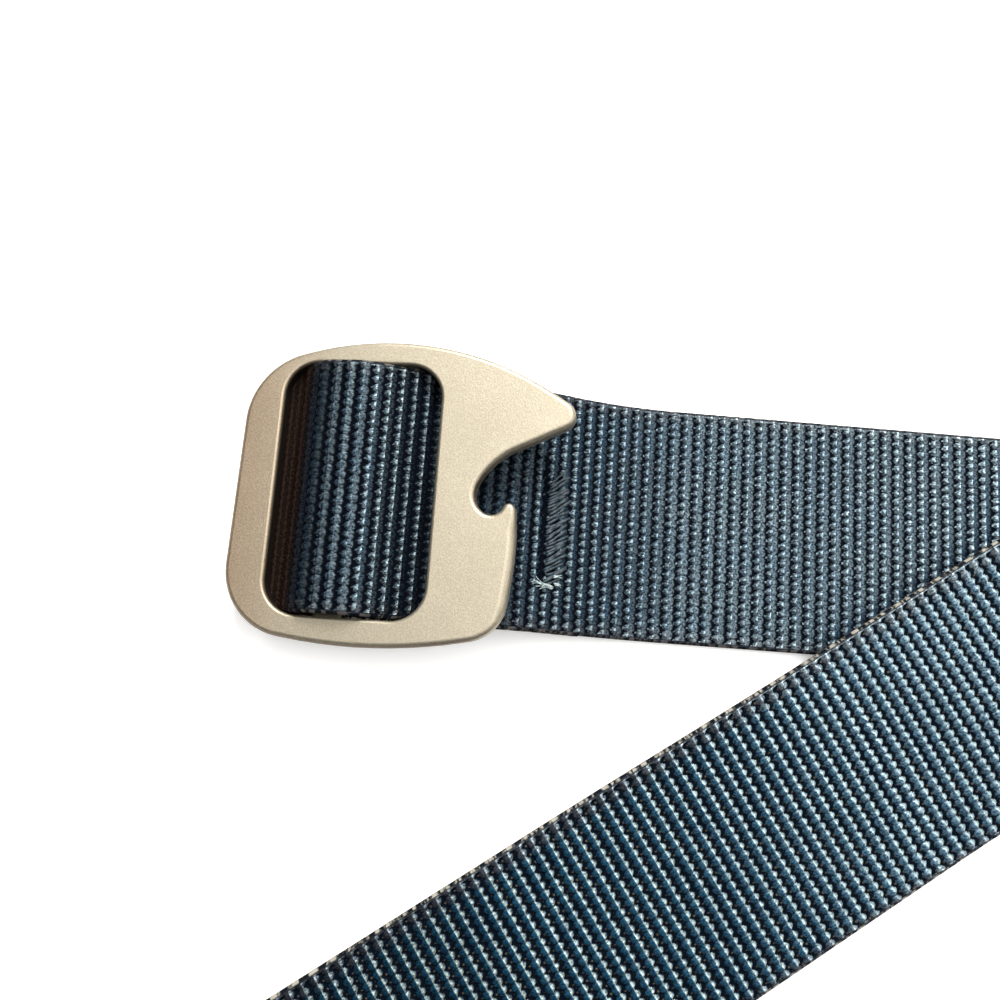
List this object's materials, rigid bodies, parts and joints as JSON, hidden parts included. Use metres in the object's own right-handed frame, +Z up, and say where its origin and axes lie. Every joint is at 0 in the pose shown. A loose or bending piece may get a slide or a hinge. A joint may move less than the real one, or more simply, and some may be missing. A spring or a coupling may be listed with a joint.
{
  "type": "web belt",
  "caption": "Web belt lying in a fold: flat woven strap looped and sewn round the centre bar of a flat metal buckle shaped as a bottle opener.",
  "frame": {"origin": "middle of the lowest face of the belt's box, on the surface that it lies on", "axes": "+X from the buckle along its strap, +Y across the strap towards the buckle's beak, +Z up"},
  "size_m": [0.1694, 0.1468, 0.0157],
  "materials": {
    "buckle_metal": "bead-blasted and anodised in a pale bronze",
    "webbing_cloth": "thick ribbed weave in slate blue"
  },
  "bodies": {
    "root": {"buckle": "buckle_metal", "webbing": "webbing_cloth"}
  },
  "joints": []
}
